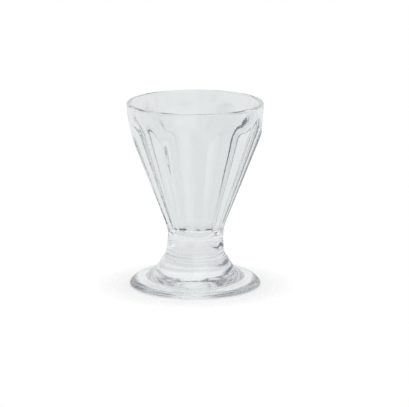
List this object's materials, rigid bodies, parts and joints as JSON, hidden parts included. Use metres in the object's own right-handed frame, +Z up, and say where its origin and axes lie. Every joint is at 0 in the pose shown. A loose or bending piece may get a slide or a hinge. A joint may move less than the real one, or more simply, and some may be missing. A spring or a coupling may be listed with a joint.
{
  "type": "sundae glass",
  "caption": "Clear pressed-glass sundae dish: a conical bowl with arched flutes under a plain rim band, on a short solid stem and a domed spreading foot.",
  "frame": {"origin": "on the axis of the glass, in the plane of the rest ring under the foot", "axes": "+Z up along the axis of the glass, -Y towards the viewer of the picture, +X to the viewer's right"},
  "size_m": [0.0858, 0.0858, 0.117],
  "materials": {
    "clear_glass": "fire-polished clear soda-lime glass, pressed in a mould, with a faint cool grey-green cast in the thick parts"
  },
  "bodies": {
    "root": {"bowl": "clear_glass", "stem": "clear_glass", "foot": "clear_glass"}
  },
  "joints": []
}
